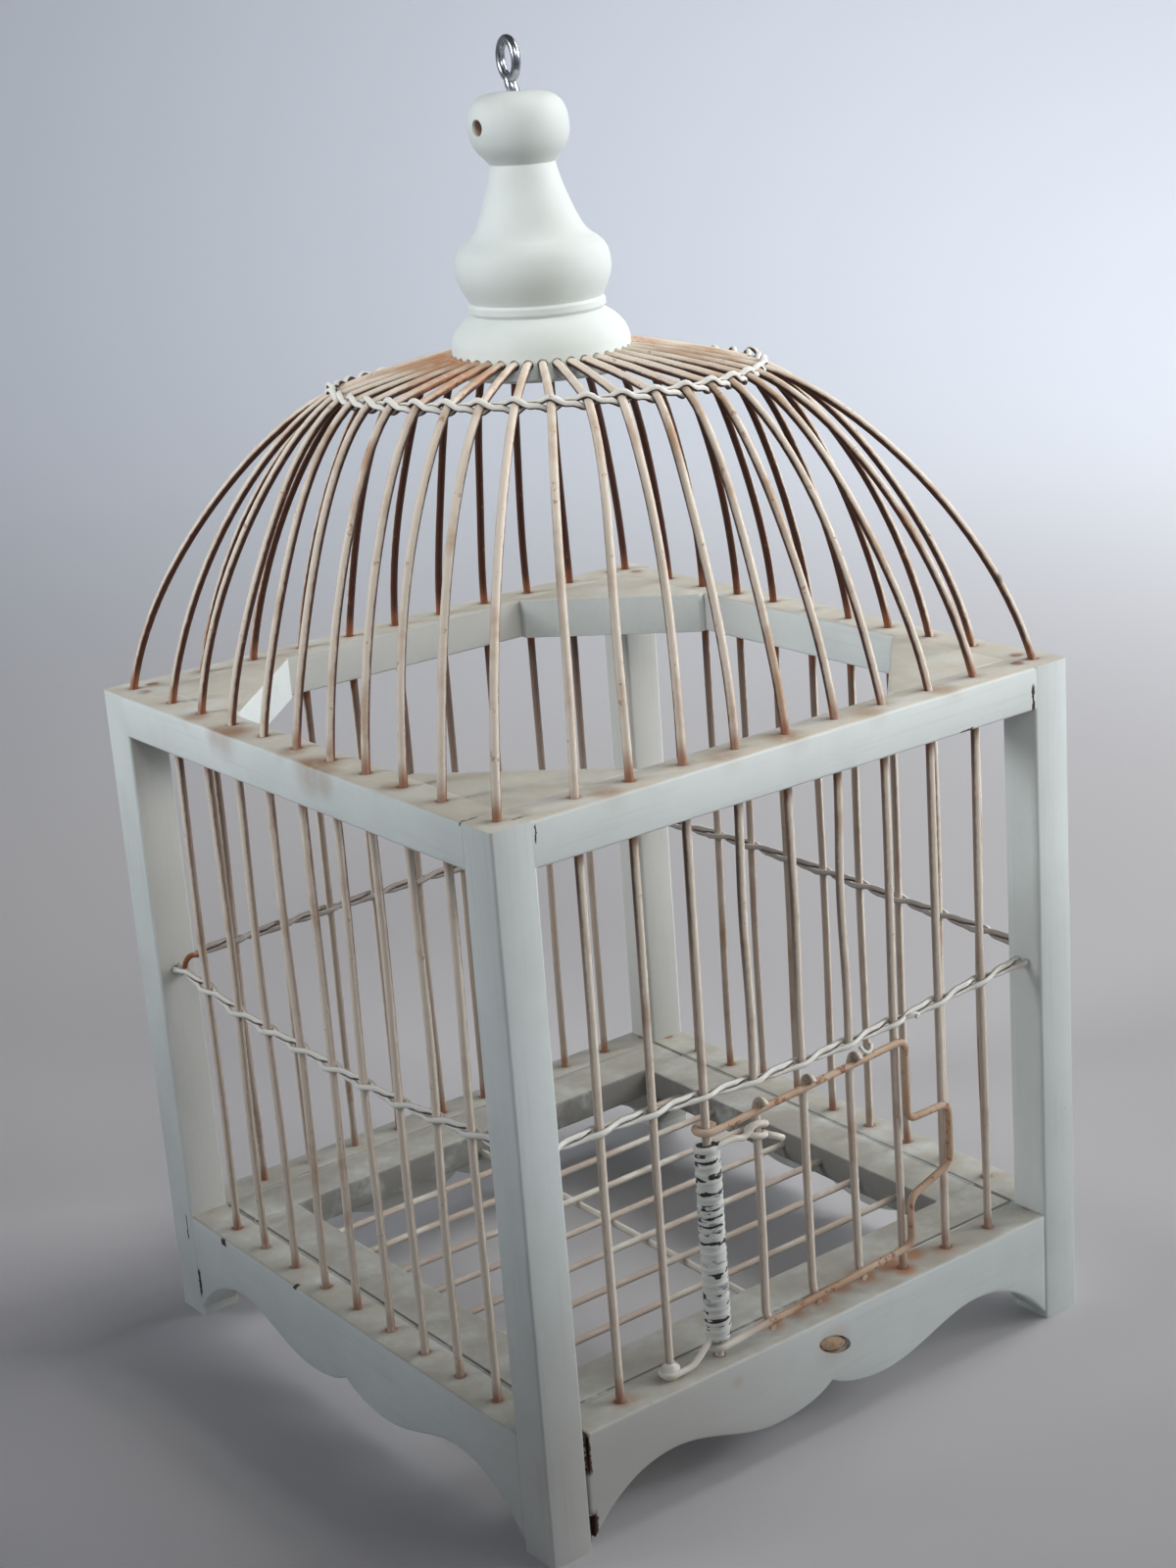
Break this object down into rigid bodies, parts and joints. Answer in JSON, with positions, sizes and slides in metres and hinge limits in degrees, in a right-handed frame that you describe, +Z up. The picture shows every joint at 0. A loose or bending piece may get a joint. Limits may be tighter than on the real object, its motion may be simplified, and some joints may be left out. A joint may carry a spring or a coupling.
{
  "type": "wooden birdcage",
  "caption": "Square wooden cage with upright wire sides, a wire dome under a turned finial with a screw eye, and a sprung wire door hinged on one of its bars.",
  "frame": {"origin": "centre of the feet, on the surface they stand on", "axes": "+Z up, the door side towards -Y"},
  "size_m": [0.2, 0.2, 0.383],
  "materials": {
    "painted_wood": "worn pale paint",
    "painted_iron": "worn cream paint",
    "rusted_iron": "worn paint over rust",
    "zinc_plate": "zinc plated",
    "painted_spring": "pale paint"
  },
  "bodies": {
    "cage": {"front_left_post": "painted_wood", "front_right_post": "painted_wood", "back_left_post": "painted_wood", "back_right_post": "painted_wood", "front_top_rail": "painted_wood", "right_top_rail": "painted_wood", "back_top_rail": "painted_wood", "left_top_rail": "painted_wood", "front_left_block": "painted_wood", "front_right_block": "painted_wood", "back_left_block": "painted_wood", "back_right_block": "painted_wood", "front_apron": "painted_wood", "right_apron": "painted_wood", "back_apron": "painted_wood", "left_apron": "painted_wood", "front_floor_board": "painted_wood", "right_floor_board": "painted_wood", "back_floor_board": "painted_wood", "left_floor_board": "painted_wood", "finial": "painted_wood", "floor_grid": "painted_iron", "front_bars": "painted_iron", "right_bars": "painted_iron", "back_bars": "painted_iron", "left_bars": "painted_iron", "hinge_wire": "painted_iron", "front_dome_wires": "painted_iron", "right_dome_wires": "painted_iron", "back_dome_wires": "painted_iron", "left_dome_wires": "painted_iron", "screw_eye": "zinc_plate", "door_spring": "painted_spring"},
    "door": {"door_frame": "rusted_iron", "door_bar_1": "painted_iron", "door_bar_2": "painted_iron", "door_bar_3": "painted_iron"}
  },
  "joints": [
    {"name": "door_hinge", "type": "hinge", "parent": "cage", "child": "door", "pos_m": [-0.0348, -0.0932, 0.0725], "axis": [0, 0, -1], "range_deg": [0, 120], "stiffness_Nm_per_rad": 0.01, "springref_deg": -34.38, "deforming": ["door_spring"]}
  ]
}
